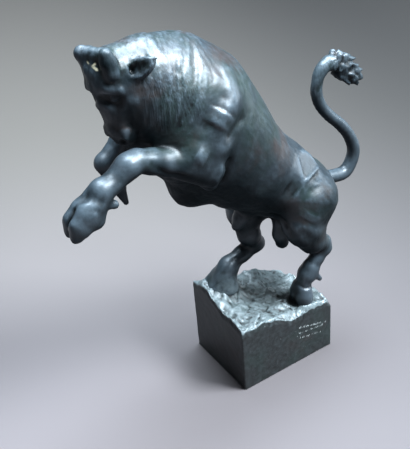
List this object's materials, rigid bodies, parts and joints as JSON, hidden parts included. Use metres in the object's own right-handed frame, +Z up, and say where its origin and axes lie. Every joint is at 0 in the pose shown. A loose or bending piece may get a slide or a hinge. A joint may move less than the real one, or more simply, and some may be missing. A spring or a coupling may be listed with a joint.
{
  "type": "bull sculpture",
  "caption": "Bronze sculpture of a rearing bull with raised tail, standing on its hind hooves on a block with rough modelled ground.",
  "frame": {"origin": "middle of the block's flat underside", "axes": "+Z up, the bull heads towards -X, its left flank and the inscribed side of the block look towards -Y"},
  "size_m": [0.347, 0.1203, 0.4095],
  "materials": {
    "bull_bronze": "dark blue-green bronze patina, satin, lighter where worn",
    "plinth_bronze": "dark grey-green bronze patina, satin sides and glossy rough ground"
  },
  "bodies": {
    "root": {"bull": "bull_bronze", "plinth": "plinth_bronze"}
  },
  "joints": []
}
